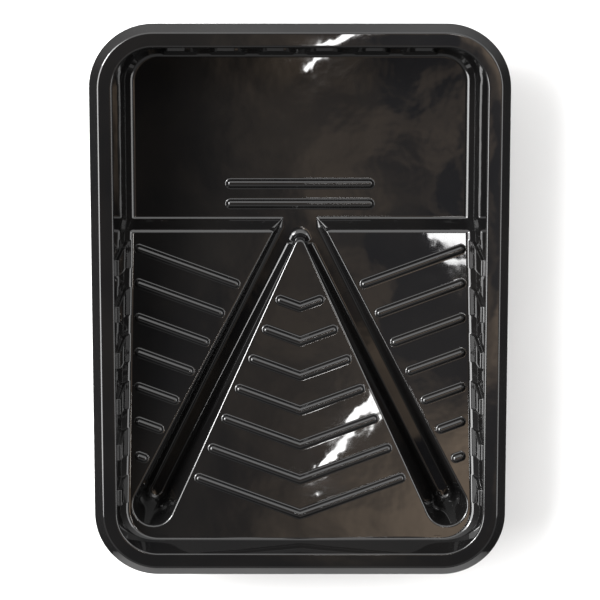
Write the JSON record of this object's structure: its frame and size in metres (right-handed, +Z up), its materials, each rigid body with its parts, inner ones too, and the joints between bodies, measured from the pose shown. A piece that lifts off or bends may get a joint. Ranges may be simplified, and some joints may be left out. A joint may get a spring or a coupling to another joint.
{
  "type": "paint roller tray",
  "caption": "Thermoformed black PET roller tray: deep paint well, sloping ribbed ramp, and V-shaped drain troughs whose ends are its front feet.",
  "frame": {"origin": "middle of the outline, on the plane that the well floor and the two trough feet stand on", "axes": "+Z up, +Y towards the paint well, +X to the right when the well is away from the viewer"},
  "size_m": [0.292, 0.393, 0.06],
  "materials": {
    "black_pet": "thermoformed PET sheet, dyed black, high gloss"
  },
  "bodies": {
    "root": {"well_floor": "black_pet", "riser_left": "black_pet", "riser_right": "black_pet", "ramp_left": "black_pet", "ramp_right": "black_pet", "ramp_centre": "black_pet", "trough_left": "black_pet", "trough_right": "black_pet", "back_wall": "black_pet", "front_wall": "black_pet", "well_wall_left": "black_pet", "well_wall_right": "black_pet", "ramp_wall_left": "black_pet", "ramp_wall_right": "black_pet", "back_corner_left": "black_pet", "back_corner_right": "black_pet", "front_corner_left": "black_pet", "front_corner_right": "black_pet", "rim_back": "black_pet", "rim_front": "black_pet", "rim_left": "black_pet", "rim_right": "black_pet", "rim_back_left": "black_pet", "rim_back_right": "black_pet", "rim_front_left": "black_pet", "rim_front_right": "black_pet"}
  },
  "joints": []
}
